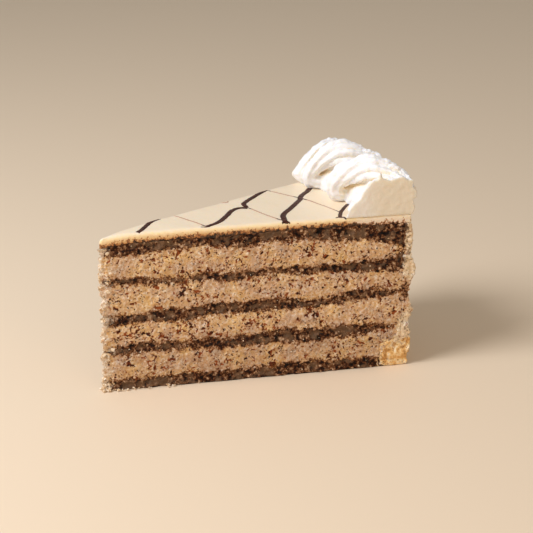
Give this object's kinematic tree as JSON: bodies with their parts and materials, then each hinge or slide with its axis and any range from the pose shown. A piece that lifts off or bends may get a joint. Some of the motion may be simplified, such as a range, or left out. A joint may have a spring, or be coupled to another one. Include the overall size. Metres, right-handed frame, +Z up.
{
  "type": "esterhazy torte slice",
  "caption": "Wedge of layered nut cream torte with feathered white icing on top and a rope of piped whipped cream along its rim, cut as served.",
  "frame": {"origin": "on the surface the slice stands on, under the middle of its box", "axes": "+X runs from the tip to the rim along the slice's middle line, +Z is up, and the cut face that the picture shows is on the -Y side"},
  "size_m": [0.1255, 0.0654, 0.0852],
  "materials": {
    "nut_meringue": "matt, crumbly",
    "nut_cream": "matt, full of nut specks",
    "icing": "satin, with dark chocolate strokes",
    "side_coat": "satin, lumpy",
    "whipped_cream": "soft satin"
  },
  "bodies": {
    "root": {"nut_meringue_1": "nut_meringue", "nut_cream_1": "nut_cream", "nut_meringue_2": "nut_meringue", "nut_cream_2": "nut_cream", "nut_meringue_3": "nut_meringue", "nut_cream_3": "nut_cream", "nut_meringue_4": "nut_meringue", "nut_cream_4": "nut_cream", "nut_meringue_5": "nut_meringue", "icing": "icing", "side_coat": "side_coat", "whipped_cream": "whipped_cream"}
  },
  "joints": []
}
